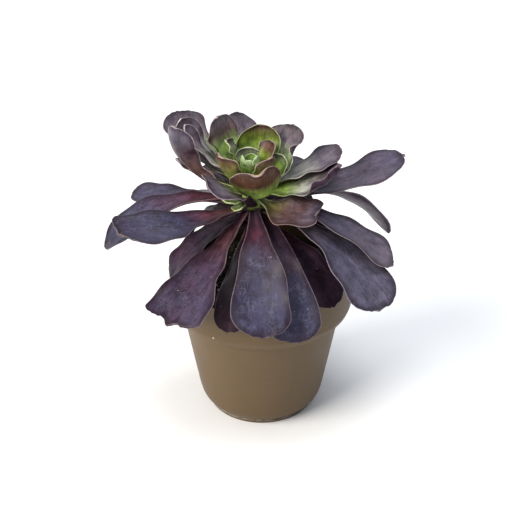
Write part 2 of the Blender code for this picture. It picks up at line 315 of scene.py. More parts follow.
def deepened(tree, shade, mottle, streak):
    """The leaf's own colour, made darker and lighter by mottling and streaks."""
    depth = times(tree, ranged(tree, mottle, 0.3, 0.7, 0.6, 1.4), ranged(tree, streak, 0.3, 0.7, 0.76, 1.24))
    grey = wire(tree, "CombineColor", {0: depth, 1: depth, 2: depth}).outputs[0]
    return mixed(tree, 1.0, shade, grey, "MULTIPLY")


def wax_share(tree, flat, rim, wax):
    """How much bloom there is: it lies in patches and is rubbed off along the margin."""
    patch = ranged(tree, noise(tree, flat, 80.0, 7.0, 0.72), 0.38, 0.60)
    share = times(tree, wax, ranged(tree, patch, 0.0, 1.0, 0.15, 1.0))
    return times(tree, share, ranged(tree, rim, 1.0, 6.0, 0.35, 1.0))


def cracks(tree, flat, wax):
    """The net: dark cores of its cells, and the lines between them, which come and go."""
    drift = wire(tree, "TexNoise", {"Vector": flat, "Scale": 330.0, "Detail": 2.0}).outputs["Color"]
    bent = wire(tree, "Mix", {0: 0.0025, 4: flat, 5: drift}, data_type="VECTOR").outputs[1]
    place = stretched(tree, bent, (250.0, 360.0, 1.0))
    cells = wire(tree, "TexVoronoi", {"Vector": place, "Scale": 1.0, "Randomness": 0.9},
                 feature="DISTANCE_TO_EDGE").outputs["Distance"]
    core = times(tree, ranged(tree, cells, 0.04, 0.24, 0.0, 0.5), wax)
    line = times(tree, ranged(tree, cells, 0.01, 0.08, 1.0, 0.0), wax)
    return core, times(tree, line, ranged(tree, noise(tree, flat, 110.0, 2.0), 0.42, 0.62))


def margined(tree, colour, shade, flat, rim, margin, band, reach, glow):
    """A band of painted shade inside the margin, and the pale margin, partly painted light, worn in places.
    """
    # painted shade: a dark band from about a millimetre inside the margin, fading out by reach
    shadow = times(tree, ranged(tree, rim, 0.3, 0.7), ranged(tree, rim, 1.2, reach, 1.0, 0.0))
    colour = mixed(tree, times(tree, shadow, band), colour, (0.016, 0.008, 0.014))
    worn = ranged(tree, noise(tree, flat, 420.0, 2.0), 0.3, 0.7, 0.35, 1.0)
    edge = times(tree, ranged(tree, rim, 0.25, 0.65, 1.0, 0.0), worn)
    # partly painted light: the margin's own pale colour mixed with the leaf colour made glow times brighter
    pale = mixed(tree, 0.4, margin, mixed(tree, 1.0, shade, (glow, glow, glow), "MULTIPLY"))
    return mixed(tree, times(tree, edge, 0.8), colour, pale)


# %% Leaf skins


def leaf_skin(name, roughness, bloom, net, margin, band, reach, glow):
    """The finish of a group of leaves: bloom, net and margin are the colours of those three layers.

    band is how strong the painted shade inside the margin is, and reach how far in it fades out, in
    millimetres. glow is how much brighter than the leaf's own colour the painted light through the margin is.
    """
    made, tree, shader = new_finish(name, roughness, LEAF_GLOSS)
    shade, flat = fact(tree, "shade", "Color"), fact(tree, "flat", "Vector")
    rim, wax = fact(tree, "rim", "Fac"), fact(tree, "wax", "Fac")
    mottle = noise(tree, flat, 160.0, 4.0, 0.6)
    streak = noise(tree, stretched(tree, flat, (60.0, 900.0, 1.0)), 1.0)
    colour = deepened(tree, shade, mottle, streak)
    waxy = wax_share(tree, flat, rim, wax)
    colour = mixed(tree, times(tree, waxy, 0.75), colour, bloom)
    core, line = cracks(tree, flat, wax)
    colour = mixed(tree, core, colour, (0.034, 0.024, 0.046))
    colour = mixed(tree, times(tree, line, 0.5), colour, net)
    dot = specks(tree, flat, 230.0, (0.05, 0.09), (0.90, 0.92))
    colour = mixed(tree, times(tree, dot, 0.7), colour, (0.62, 0.60, 0.62))
    colour = margined(tree, colour, shade, flat, rim, margin, band, reach, glow)
    surface(tree, shader, colour, ranged(tree, waxy, 0.0, 1.0, roughness - 0.08, roughness + 0.12))
    under = bumped(tree, shader, streak, 0.00012, 0.5)
    under = bumped(tree, shader, mottle, 0.00018, 0.5, under)
    bumped(tree, shader, line, -0.00008, 0.6, under)
    return made


LEAF_SKINS = {
    "outer_leaf": leaf_skin("dark_leaf_skin", 0.46, bloom=(0.044, 0.045, 0.091), net=(0.130, 0.123, 0.168),
                            margin=(0.21, 0.16, 0.16), band=0.7, reach=7.0, glow=2.6),
    "inner_leaf": leaf_skin("rosette_leaf_skin", 0.42, bloom=(0.095, 0.090, 0.105), net=(0.13, 0.13, 0.125),
                            margin=(0.60, 0.48, 0.42), band=0.5, reach=4.0, glow=3.2),
    "bud_leaf": leaf_skin("bud_leaf_skin", 0.40, bloom=(0.20, 0.27, 0.12), net=(0.22, 0.30, 0.14),
                          margin=(0.45, 0.50, 0.36), band=0.15, reach=3.0, glow=1.6),
}
print("leaf skins:", ", ".join(LEAF_SKINS))

# %% [markdown]
# ## Colours of the leaves
# The leaves are coloured from a small box of paints. Each leaf names five of them for its upper side, from
# the stalk to the tip, and two or five for its lower side. The rest is the same rule for all: the paints
# run into each other along the leaf, and the last but one of the upper side also creeps up along the
# margins, as the purple of the real plant does where the sun reaches it.

# %% Paints
PAINTS = {
    "pearl": (0.38, 0.37, 0.32),
    "mint": (0.33, 0.42, 0.20),
    "sprout": (0.32, 0.47, 0.13),
    "lime": (0.27, 0.38, 0.08),
    "leaf": (0.165, 0.25, 0.05),
    "moss": (0.17, 0.15, 0.045),
    "grass": (0.125, 0.165, 0.022),
    "sage": (0.20, 0.21, 0.15),
    "olive": (0.12, 0.11, 0.04),
    "lilac": (0.20, 0.155, 0.19),
    "mauve": (0.115, 0.090, 0.112),
    "haze": (0.110, 0.096, 0.135),
    "taupe": (0.075, 0.060, 0.062),
    "rust": (0.086, 0.043, 0.034),
    "umber": (0.072, 0.033, 0.019),
    "rose": (0.13, 0.050, 0.058),
    "wine": (0.085, 0.028, 0.040),
    "claret": (0.055, 0.016, 0.026),
    "maroon": (0.028, 0.010, 0.017),
    "blush": (0.125, 0.074, 0.070),
    "plum": (0.068, 0.036, 0.062),
    "grape": (0.044, 0.026, 0.044),
    "slate": (0.072, 0.062, 0.090),
    "steel": (0.044, 0.042, 0.068),
    "indigo": (0.026, 0.022, 0.044),
    "aubergine": (0.022, 0.013, 0.022),
    "ink": (0.011, 0.006, 0.009),
    "pitch": (0.0055, 0.0032, 0.0045),
}
print(len(PAINTS), "paints")


def leaf_shade(coat, facts):
    """The leaf's own colour at each point, in red, green and blue.

    The paints are spread evenly along the leaf and blended between, for each side on its own. A pair of
    paints meets in the middle. The upper side's last paint but one then creeps in from the margins.
    """
    upper, lower = [[PAINTS[paint] for paint in side.split()] for side in coat.split("/")]
    share = facts["share"]
    spread = []
    for paints in (upper, lower):
        marks = np.linspace(0.06, 0.96, len(paints)) if len(paints) > 2 else (0.36, 0.66)
        spread.append(np.stack([np.interp(share, marks, [p[c] for p in paints]) for c in range(3)], axis=-1))
    creep = smooth((np.abs(facts["v"]) - 0.6) / 0.4) * smooth((share - 0.3) / 0.4) * 0.4
    top = spread[0] + (np.array(upper[3]) - spread[0]) * creep[..., None]
    return np.where((facts["face"] >= 0)[..., None], top, spread[1])


# %% [markdown]
# ## Shape of a leaf
# A leaf is a spatula: a narrow stalk that widens into a broad blade with a rounded end. It could be cut
# from a flat sheet and bent, but a table of dimensions is easier to keep to the solid model, so each leaf
# is a function of two parameters: how far along it a point lies, and how far across. Along the leaf, the
# elevation and the azimuth turn smoothly, and the middle line is the running sum of those directions.
# Across it, the blade is a shallow gutter of two skins that meet in a sharp margin.
#
# The margin of a real leaf is never quite even: it waves up and down, one side is a little wider than the
# other, and the end carries a small point or a nick. These are small changes to the same surface, so they
# stand in the same table, and only for the leaves where they show.

# %% Leaf table


def leaf(turn, height, length, width, rise, coat, wax, **details):
    """A leaf's dimensions, in millimetres and degrees, its coat of paints and how much wax bloom it has.

    turn is its azimuth and height the place on the stem that it grows from. rise is its elevation at the
    stem and at the tip, and bend is how late it changes from one to the other. roll turns the blade about
    its own length and sweep carries it sideways. neck is the width at the stem as a share of the full
    width, broad is where along the length it is widest, early above 1 widens it later, and blunt squares
    off the tip. cup is half the angle that the cross-section curls through, and thick the thickness, both
    at the stem and at the tip.

    wave widens and narrows the blade, ruffle lifts and lowers its margins, and ragged makes its end
    uneven. Each fold curls a margin over: which one (1 or -1), degrees, from and to. point draws out the
    middle of the end, and each nick bites into it or adds a lobe: where across, how far, and how wide.
    groove is the depth of the channel along the middle. bare is where along the leaf its bloom begins,
    and over how much of the length it comes in.
    """
    even = dict(roll=(0, 0), sweep=0, bend=1, neck=0.2, broad=0.8, early=1, blunt=2, cup=(35, 8),
                thick=(2.8, 1.6), wave=0.05, ruffle=0.9, ragged=0.5, fold=(), point=0.5, nicks=(),
                groove=0.55, bare=(0.15, 0.5))
    return dict(even, turn=turn, height=height, length=length, width=width, rise=rise, coat=coat, wax=wax,
                **details)


def bud(turn, height, length, **details):
    """A leaf of the growing tip. They differ in little but their azimuth and length."""
    # painted light: the bud leaves are painted lighter greens than their own to make up for the shade in the
    # heart
    return leaf(turn, height, length, 13, (60, 112), "lime sprout mint sprout leaf / sprout mint", 0,
                neck=0.4, broad=0.65, blunt=1.8, cup=(50, 50), thick=(1.6, 1), point=0, **details)


# turn, height, length, width, (rise at the stem, rise at the tip),
# "paints of the upper side, stalk to tip / of the lower side", wax
LEAVES = {
    # hanging and spreading leaves that face the front and the sides
    "lower_leaf_01": leaf(232, 161, 98, 50, (-31, -28), "claret rose plum grape grape / wine pitch", 0.5,
        roll=(-21, -1), sweep=3, bend=1.1, neck=0.16, broad=0.92, blunt=2.6, ruffle=1.4, point=0.3,
        nicks=[(-0.35, -1.5, 0.2), (-0.05, 2.2, 0.1), (0.2, -1.2, 0.12)]),
    "lower_leaf_02": leaf(274, 162, 99, 41, (2, -66), "plum claret aubergine indigo indigo / wine pitch",
        0.6, roll=(-16, -14), sweep=2, bend=0.8, broad=0.83, bare=(0.29, 0.03)),
    "lower_leaf_03": leaf(291, 158.5, 101, 36, (9, -68), "maroon plum plum steel indigo / wine ink", 0.8,
        roll=(1, -26), bend=0.6, neck=0.36, broad=0.88),
    # painted shade: this leaf hangs in shade behind its neighbours, and its coat is painted nearly black for
    # it
    "lower_leaf_04": leaf(258, 153.5, 86, 23, (-8, -59), "claret pitch pitch ink maroon / claret pitch", 0,
        roll=(1, 10), sweep=-6, bend=0.8, neck=0.27, broad=0.88),
    "lower_leaf_05": leaf(316, 153, 80, 38, (-18, -43), "wine wine plum maroon maroon / ink ink", 0.2,
        roll=(-4, 4), sweep=-4, neck=0.23, broad=0.79),
    "lower_leaf_06": leaf(329, 159.5, 114, 47, (6, -41), "rose lilac haze haze haze / maroon ink", 0.5,
        roll=(10, 7), sweep=-28, bend=0.8, neck=0.17, broad=0.84),
    "lower_leaf_07": leaf(340, 165, 102, 37, (9, -37), "claret plum haze mauve lilac / wine ink", 0.5,
        roll=(5, 7), sweep=-5, bend=0.8, neck=0.19, broad=0.85),
    "lower_leaf_08": leaf(28, 163, 111, 25, (10, -60), "plum plum slate slate slate / lilac lilac", 0.9,
        roll=(21, 40), sweep=-41, bend=1.3, neck=0.26, broad=0.76),
    "lower_leaf_09": leaf(8, 169.5, 104, 47, (-4, 33), "ink ink lilac mauve slate / ink pitch", 0.55,
        roll=(11, -2), sweep=-2, neck=0.12, broad=0.81, wave=0.02, point=1.2),
    # partly painted highlight: the pale pearl along the lower half stands partly for the sheen of the window
    # light on it
    "lower_leaf_10": leaf(12, 177, 62, 37, (11, 38), "mint pearl pearl mauve mauve / olive plum", 0.3,
        roll=(13, 0), sweep=-6, bend=1.1, neck=0.22, broad=0.83),
    "lower_leaf_11": leaf(347, 175, 61, 38, (2, 51), "lime lime pearl taupe mauve / olive plum", 0.1,
        roll=(-8, -3), sweep=5, bend=1.2, neck=0.27, broad=0.75, ruffle=1.4, fold=[(-1, 80, 0.62, 1.1)],
        ragged=1.6),
    "lower_leaf_12": leaf(303.5, 172.8, 55.5, 38, (-5, 14), "mint moss rust rust mauve / olive plum", 0.3,
        roll=(-42, 8), sweep=51, bend=1.35, neck=0.12, broad=0.66, early=1.9, blunt=8, ruffle=1.2, point=0.2,
        nicks=[(0, -4, 0.5), (1, 3, 0.2), (-1, 3, 0.25)]),
    "lower_leaf_13": leaf(254, 167.5, 57, 27, (40, 30), "sprout leaf sage lilac mauve / maroon maroon", 0.3,
        roll=(6, 14), sweep=-55, bend=0.9, neck=0.45, broad=0.74, blunt=3, fold=[(1, 70, 0.02, 0.62)],
        point=0.2, nicks=[(-0.8, 5, 0.4)]),
    # painted light: these two small leaves are painted lighter than their own green to make up for the shade
    # they lie in
    "lower_leaf_14": leaf(227, 169.5, 21, 13, (23, 14), "mint sprout sprout mint lime / mint mint", 0.1,
        roll=(-9, 6), sweep=2, bend=1.1, neck=0.4, broad=0.73),
    "lower_leaf_15": leaf(237, 168, 14, 11, (17, -24), "mint sprout sprout mint lime / mint mint", 0.1,
        roll=(-12, -18), sweep=-12, bend=1.2, neck=0.32, broad=0.71),
    "lower_leaf_16": leaf(182, 168, 112, 34, (11, -53), "wine wine plum steel ink / wine claret", 0.6,
        roll=(-4, 19), sweep=-6, neck=0.19, broad=0.77),
    "lower_leaf_17": leaf(160, 162, 87, 28, (0, -7), "wine plum slate slate slate / wine taupe", 0.6,
        roll=(-15, 13), sweep=2, bend=1.1, neck=0.17, broad=0.84),
    "lower_leaf_18": leaf(210, 163.5, 98, 52, (-5, 14), "rust wine indigo slate grape / wine ink", 0.8,
        roll=(-8, 3), sweep=9, neck=0.15, broad=0.82, wave=0.08, ruffle=1),
    "lower_leaf_19": leaf(196, 156, 70, 33, (-17, -58), "mauve mauve grape claret pitch / rust olive", 0.4,
        roll=(13, -11), sweep=13, bend=1.1, neck=0.23, broad=0.81),
    "lower_leaf_20": leaf(208, 151, 61, 31, (-18, -53), "claret plum rust rust plum / ink ink", 0.4,
        roll=(6, -4), sweep=-2, bend=1.2, neck=0.23, broad=0.77),
    # rosette
    "rosette_leaf_01": leaf(151, 177, 74, 38, (18, 49), "mint pearl mint lilac mauve / rust lilac", 0.4,
        roll=(-8, -8), sweep=-26, broad=0.85),
    "rosette_leaf_02": leaf(167, 180.5, 63, 30, (20, 73), "mint mint pearl lilac mauve / rust sage", 0.1,
        roll=(-7, 8), sweep=-12, bend=1.2, neck=0.21, broad=0.83),
    "rosette_leaf_03": leaf(186, 175, 74, 31, (12, 94),
        "lime leaf plum mauve mauve / lime blush rust maroon slate", 0.4, roll=(-13, -48), sweep=-7,
        bend=1.3, neck=0.5, broad=0.81, cup=(45, 45)),
    "rosette_leaf_04": leaf(182, 183.5, 57, 15, (22, 72), "mint pearl pearl lilac mauve / mauve lilac", 0.1,
        roll=(-21, 10), sweep=-20, bend=1.1, neck=0.6, broad=0.88, cup=(45, 45)),
    "rosette_leaf_05": leaf(163, 171, 53, 18, (13, 35), "olive plum slate plum plum / olive plum", 0.4,
        roll=(-13, -16), sweep=6, neck=0.28, broad=0.85),
    "rosette_leaf_06": leaf(141, 185, 46, 33, (35, 86), "mint mint sprout blush mauve / leaf plum", 0.2,
        roll=(13, 2), sweep=14, neck=0.21, broad=0.79),
    "rosette_leaf_07": leaf(104, 179, 53, 30, (31, 60), "leaf sage lilac lilac mauve / rust plum", 0.3,
        roll=(-2, -33), neck=0.24, broad=0.79),
    "rosette_leaf_08": leaf(73, 185, 36, 33, (37, 88), "sprout sprout leaf grass rust / leaf grass", 0,
        roll=(-1, -21), sweep=3, neck=0.28, broad=0.55, blunt=2.8, cup=(40, 40), wave=0.02, ruffle=0.5,
        point=0.2),
    "rosette_leaf_09": leaf(33, 178, 47.5, 39, (45, 58), "sprout pearl mint mauve taupe / leaf mauve", 0.15,
        roll=(-28, 20), sweep=16, bend=1.1, neck=0.6, broad=0.78, fold=[(-1, 90, 0.5, 0.8)]),
    "rosette_leaf_10": leaf(24, 190, 23, 21, (45, 61), "leaf grass grass rust umber / leaf olive", 0,
        roll=(-3, -3), neck=0.39, broad=0.71, blunt=2.5, cup=(40, 40), point=0.2),
    "rosette_leaf_11": leaf(99, 188, 17, 21, (42, 94), "lime sprout mint sage sage / leaf leaf", 0.05,
        roll=(-8, 1), sweep=-3, neck=0.33, broad=0.67, cup=(40, 40), ruffle=0.2, point=0.1),
    "rosette_leaf_12": leaf(156, 188, 26, 22, (44, 75), "leaf leaf leaf sage taupe / lime leaf", 0.05,
        roll=(-23, -14), sweep=2, neck=0.26, broad=0.75, cup=(40, 40)),
    "rosette_leaf_13": leaf(8, 185.5, 24, 25, (11, 84), "lime sprout leaf leaf sage / leaf leaf", 0.05,
        roll=(-20, -33), sweep=10, bend=1.2, neck=0.3, broad=0.66, cup=(40, 40)),
    "rosette_leaf_14": leaf(309, 183, 30, 24, (28, 92),
        "leaf leaf grass rust rust / lime lime leaf moss rust", 0.05, roll=(-5, -10), sweep=-2, bend=1.1,
        neck=0.3, broad=0.68, cup=(50, 50)),
    "rosette_leaf_15": leaf(277.5, 176, 54, 39.5, (5, 78),
        "lime leaf grass umber umber / lime lime leaf umber umber", 0, roll=(15, -19), sweep=-6, bend=0.9,
        neck=0.26, broad=0.63, early=0.55, blunt=3.2, cup=(50, 55), wave=0.02, ruffle=0.4, point=0,
        nicks=[(-0.05, -4.2, 0.48)]),
    "rosette_leaf_16": leaf(220, 181, 36, 26, (30, 77),
        "leaf leaf leaf olive olive / leaf leaf leaf moss rust", 0.05, roll=(1, 4), sweep=9, neck=0.3,
        broad=0.78, cup=(50, 50)),
    # bud
    "bud_leaf_1": bud(190, 190, 13),
    "bud_leaf_2": bud(265, 190, 11),
    "bud_leaf_3": bud(341, 190, 13, roll=(-2, 0)),
    "bud_leaf_4": bud(65, 191, 11),
    # hanging leaves behind
    "back_leaf_01": leaf(42, 156, 76, 34, (-5, -66), "wine wine plum slate slate / wine ink", 0.7,
        roll=(1, 2), bend=1.1),
    "back_leaf_02": leaf(68, 164, 85, 41, (4, -67), "wine wine plum slate slate / wine ink", 0.8,
        roll=(-2, 5), sweep=2, neck=0.17),
    "back_leaf_03": leaf(89, 154.5, 85, 36, (-6, -64), "claret wine plum slate plum / wine ink", 0.7,
        roll=(0, -3), sweep=1, broad=0.81),
    "back_leaf_04": leaf(117, 161, 64, 37, (7, -45), "wine plum slate slate slate / wine ink", 0.8,
        roll=(2, -1), bend=1.1),
    "back_leaf_05": leaf(150, 157.5, 57, 31, (-4, -67), "rust blush blush lilac lilac / rust plum", 0.3,
        roll=(-2, 8), sweep=9, bend=1.1, neck=0.21, broad=0.78),
    "back_leaf_06": leaf(84, 169.5, 74, 36, (10, -22), "olive wine plum slate slate / wine ink", 0.7),
    "back_leaf_07": leaf(122, 171.5, 47, 34, (7, 3), "leaf olive lilac rust slate / olive plum", 0.5,
        roll=(4, 6), sweep=1, neck=0.22),
    "back_leaf_08": leaf(37, 171.5, 46, 28, (6, 15), "leaf sage mauve slate slate / olive plum", 0.5,
        roll=(-6, -22), sweep=2, neck=0.24, broad=0.81),
    "back_leaf_09": leaf(166, 153.5, 49, 30, (-11, -76), "claret wine plum plum plum / wine ink", 0.5,
        roll=(1, 6), neck=0.22, broad=0.79),
    "back_leaf_10": leaf(5, 154, 66, 32, (-11, -63), "claret wine plum slate slate / wine ink", 0.6,
        roll=(0, -1), neck=0.22),
}
print(len(LEAVES), "leaves in the table")

# %% Middle line
RINGS = 84
STEM_BEND = 102.0
APEX = (-8.0, -2.0, 192.0)
STEM_TAPER = ([100, 150, 172, 186, 193], [8.0, 7.5, 7.0, 5.0, 2.0])
LEAF_GAP = 0.35
FINE_STEPS = 121


def stem_middle(height):
    """The stem stands upright in the soil and leans from there to the bud."""
    lean = np.clip((height - STEM_BEND) / (APEX[2] - STEM_BEND), 0, None)
    return np.array([APEX[0] * lean, APEX[1] * lean, height])


def stem_radius(height):
    """The stem narrows slowly up to the rosette and then quickly to the bud."""
    return np.interp(height, *STEM_TAPER)


def stations(form):
    """Shares of the length: even along the blade, and closer together towards the round end."""
    blade = np.linspace(0, form["broad"], RINGS // 2, endpoint=False)
    end = 1 - (1 - np.linspace(0, 1, RINGS - RINGS // 2 + 1)) ** 2
    return np.concatenate([blade, form["broad"] + (1 - form["broad"]) * end])


def between(ends, share):
    """A dimension that changes evenly from the stem to the tip."""
    return ends[0] + (ends[1] - ends[0]) * share


def midline(form, at):
    """Places and frames along a leaf that grows towards +X: middle, upper side, sideways and direction.

    The elevation and the azimuth change smoothly from stem to tip, and each place is the running sum of
    the directions before it. The roll then turns the upper side about the direction.
    """
    fine = np.linspace(0, 1, FINE_STEPS)
    rise = np.radians(between(form["rise"], fine ** form["bend"]))
    turn = np.radians(form["sweep"] * fine ** 1.5)
    roll = np.radians(between(form["roll"], fine))[:, None]
    along = np.stack([np.cos(rise) * np.cos(turn), np.cos(rise) * np.sin(turn), np.sin(rise)], axis=1)
    level = np.stack([-np.sin(rise) * np.cos(turn), -np.sin(rise) * np.sin(turn), np.cos(rise)], axis=1)
    side = np.cross(level, along)
    upper = level * np.cos(roll) + side * np.sin(roll)
    across = side * np.cos(roll) - level * np.sin(roll)
    steps = (along[1:] + along[:-1]) / 2 * form["length"] / (FINE_STEPS - 1)
    start = stem_radius(form["height"]) + LEAF_GAP + form["thick"][0] / 2 * abs(math.sin(rise[0]))
    middle = np.vstack([[0, 0, 0], np.cumsum(steps, axis=0)]) + (start, 0, 0)
    return [np.stack([np.interp(at, fine, track[:, axis]) for axis in range(3)], axis=1)
            for track in (middle, upper, across, along)]


# %% [markdown]
# ### Across the leaf
# Each cross-section is worked out for all stations at once: the arrays below have a row for each station
# and a column for each step across. v runs from 1 at one margin to -1 at the other. The section's angle
# says how the gutter curls, and its place is the running sum of that angle's direction.

# %% Outline, waves and folds
GROWN = 0.45
FOLD_EASE = 0.15


def half_width(form, at):
    """Half the blade's width: a smooth swell from the neck, then a round end."""
    swell = form["neck"] + (1 - form["neck"]) * smooth(at / form["broad"]) ** form["early"]
    end = np.clip((at - form["broad"]) / (1 - form["broad"]), 0, 1)
    return form["width"] / 2 * swell * np.sqrt(1 - end ** form["blunt"])


def waves(form, at, v, rng):
    """How much wider each half of the blade is, and how far its margin is lifted, in millimetres.

    Both are sines along the leaf with a beat and a start of their own for each half, and they grow from
    nothing at the stalk and at the middle line.
    """
    beat = rng.uniform(1.6, 2.6, 2)
    phase = rng.uniform(0, 2 * np.pi, 4)
    side = np.where(v > 0, 0, 1)
    run = 2 * np.pi * at
    grown = smooth(at / GROWN)
    wider = 1 + form["wave"] * grown * np.sin(run * beat[side] + phase[side]) * np.abs(v) ** 1.5
    lifted = form["ruffle"] * grown * np.abs(v) ** 3 * np.sin(run * (beat[side] + 1.3) + phase[side + 2])
    return wider, lifted


def bowed(form, at, v):
    """The section's angle: cup times v, and beyond half way out the turn of each fold as well."""
    bow = np.radians(between(form["cup"], at)) * v
    for which, degrees, start, stop in form["fold"]:
        reach = smooth((at - start) / FOLD_EASE) * smooth((stop - at) / FOLD_EASE)
        bow = bow + which * math.radians(degrees) * reach * smooth((which * v - 0.45) / 0.55)
    return bow


# %% Skins


def section(half, bow, v):
    """Places outwards and upwards from the middle: the running sum of half times the angle's cos and sin."""
    places = []
    for step in (half * np.cos(bow), half * np.sin(bow)):
        parts = (step[:, 1:] + step[:, :-1]) / 2 * np.diff(v)
        total = np.hstack([np.zeros((len(step), 1)), np.cumsum(parts, axis=1)])
        places.append(total - total[:, len(v) // 2][:, None])
    return places


def skin_depth(form, at, v, half, seed):
    """How far the upper and the lower skin lie from the section, upwards, in millimetres.

    Each lies half the thickness times sqrt(1 - v ** 4) away. Soft noise makes it uneven, and the groove
    is a bell curve 1.6 mm wide along the middle.
    """
    thick = between(form["thick"], at ** 0.7) * np.minimum(1, half / 4)
    fat = thick / 2 * np.sqrt(1 - v ** 4)
    groove = form["groove"] * np.exp(-(v * half / 1.6) ** 2) * np.minimum(1, half / 5) * (1 - at * 0.7)
    place = np.stack([at * form["length"] + v * 0, half * v, half * 0 + v * 0], axis=-1)
    uneven = 0.28 * grain(place, 9.0, seed) * (1 - v ** 4) * smooth(at / GROWN)
    return (fat + uneven - groove * (1 - v ** 8), -fat + uneven - groove * 0.8 * (1 - v ** 8))


def end_shape(form, at, lateral, seed):
    """How far the end is drawn out along the leaf, by its point, its nicks and its ragged edge."""
    ahead = form["point"] * np.exp(-(lateral / 1.3) ** 2)
    for where, depth, span in form["nicks"]:
        ahead = ahead + depth * np.exp(-((lateral / (form["width"] / 2) - where) / span) ** 2)
    ahead = ahead + form["ragged"] * grain(np.stack([lateral, 0 * lateral, 0 * lateral], axis=-1), 2.2, seed)
    return ahead * smooth((at - form["broad"] + 0.06) / (1.06 - form["broad"]))


# %% Blade
HALF_STEPS = 26


def blade(form, seed):
    """Rings of points in millimetres, the base, the tip, and what the leaf skin reads at each point.

    A ring goes over the upper skin from v = 1 to -1 and back under the lower one, so v is the cosine of
    an angle that goes once round.
    """
    share = stations(form)[:-1]
    at = share[:, None]
    middle, upper, across, along = midline(form, share)
    v = np.cos(np.linspace(0, np.pi, HALF_STEPS + 1))
    half = half_width(form, at)
    wider, lifted = waves(form, at, v, np.random.default_rng(seed))
    bow = bowed(form, at, v)
    out, lift = section(half, bow, v)
    skins = [(out * wider - depth * np.sin(bow), lift + lifted + depth * np.cos(bow))
             for depth in skin_depth(form, at, v, half, seed)]
    out, lift = [np.hstack([over, under[:, -2:0:-1]]) for over, under in zip(*skins)]

    around_v = np.concatenate([v, v[-2:0:-1]])
    face = np.concatenate([np.ones(len(v)), -np.ones(len(v) - 2)])
    face[[0, len(v) - 1]] = 0
    lateral = half * around_v
    rings = middle[:, None] + out[..., None] * across[:, None] + lift[..., None] * upper[:, None]
    rings = rings + end_shape(form, at, lateral, seed)[..., None] * along[:, None]
    last = midline(form, np.array([1.0]))
    nicked = sum(depth * math.exp(-(where / span) ** 2) for where, depth, span in form["nicks"])
    tip = last[0][0] + last[3][0] * (form["point"] + nicked)
    base = middle[0] + upper[0] * 0.1 - along[0] * 1.2

    row = 0 * around_v
    rim = np.minimum(half * (1 - np.abs(around_v)), (1 - at) * form["length"])
    facts = {"share": at + row, "v": around_v + 0 * at, "face": face + 0 * at, "rim": rim,
             "length": at * form["length"] + row, "lateral": lateral}
    return rings, base, tip, facts


# %% [markdown]
# ## Leaves
# Every leaf is made by the same steps: the blade is turned to its azimuth and set on the stem, the facts
# that its skin reads are stored with it, and it takes the place of its solid. Small leaves are nearly
# even, and those of the rosette have a cleaner margin than the old ones.

# %% Leaves
SMALL_LEAF = 25
FIRST_SEED = 100
END_RIMS = (3.0, 0.0)
SKIN_OF = {"lower": "outer_leaf", "back": "outer_leaf", "rosette": "inner_leaf", "bud": "bud_leaf"}


def grown_form(kind, form):
    """The form with what all leaves of its kind and size have in common."""
    if kind == "rosette":
        form = dict(form, ragged=0.2)
    if form["length"] < SMALL_LEAF:
        form = dict(form, ruffle=form["ruffle"] * 0.3, point=min(form["point"], 0.2), groove=0.2, ragged=0.1)
    return form


def turned(points, degrees):
    """Points turned about the upright axis."""
    cos, sin = math.cos(math.radians(degrees)), math.sin(math.radians(degrees))
    return points @ np.array([[cos, sin, 0], [-sin, cos, 0], [0, 0, 1]])


def bloom_of(form, number, facts):
    """How much wax there is at each point: it comes in along the leaf, and the lower side has less."""
    start, spread = form["bare"]
    worn = facts["share"] + 0.012 * np.sin(9 * facts["v"] + number)
    return form["wax"] * smooth((worn - start) / spread) * np.where(facts["face"] >= 0, 1, 0.4)


def with_ends(values):
    """Values of all rings in one row, with those of the first and last point again for base and tip."""
    return np.concatenate([values, values[[0, -1]]])


def make_leaf(number, name, form):
    """One leaf: its surface, turned to its azimuth and set on the stem, with what its skin reads."""
    kind = name.split("_")[0]
    form = grown_form(kind, form)
    rings, base, tip, facts = blade(form, FIRST_SEED + number)
    points, faces = closed_skin(rings, base, tip)
    points = turned(points, form["turn"]) + stem_middle(form["height"])
    flat = np.stack([facts["length"] * MM, facts["lateral"] * MM, facts["face"] * 0.01], axis=-1)
    own_patch = np.array([0.31, 0.17, 0.0]) * number
    made = put(name + "_blade", points, faces, LEAF_SKINS[SKIN_OF[kind]], {
        "shade": with_ends(leaf_shade(form["coat"], facts).reshape(-1, 3)),
        "flat": with_ends(flat.reshape(-1, 3)) + own_patch,
        "rim": np.concatenate([facts["rim"].ravel(), END_RIMS]),
        "wax": with_ends(bloom_of(form, number, facts).ravel())})
    stands_for(made, [name])
    return made


blades = [make_leaf(number, name, form) for number, (name, form) in enumerate(LEAVES.items())]
print(len(blades), "leaves,", sum(len(made.data.polygons) for made in blades), "faces")

# %% [markdown]
# ## Pot
# The pot is a thin tapered shell of moulded plastic, with a wider collar, a rounded corner at the bottom, a
# bead round its foot and a recessed underside. It could be a stack of cylinders, but a turned shape is one
# profile carried round an axis, so the profile is drawn once, its corners are eased with short curves, and
# each of its points becomes a ring.

# %% Pot profile
POT_HEIGHT = 114.0
POT_RIM_RADIUS = 67.6
POT_COLLAR_RADIUS = 66.6
POT_COLLAR_FOOT = 84.0
POT_COLLAR_EASE = (1.5, 4.0)
POT_LIP = (0.6, 2.0)
POT_CREASE = 78.2
POT_CREASE_RADIUS = 58.2
POT_TAPER = 0.178
POT_CORNER = 5.6
POT_CORNER_TOP = 26.5
POT_FOOT_RADIUS = 39.2
POT_FOOT_HEIGHT = 2.9
POT_FOOT_RING = 3.0
POT_FOOT_SLOPE = 0.5
POT_BEAD = (1.2, 0.6)
POT_WALL = 1.5
POT_RECESS = 2.5
POT_HUB_RADIUS = 14.0
POT_HUB_SLOPE = 1.0
POT_FLOOR_EDGE = (1.0, 2.0)
POT_EASE = 0.7
POT_SIDES = 240
AXIS_RING = 0.5


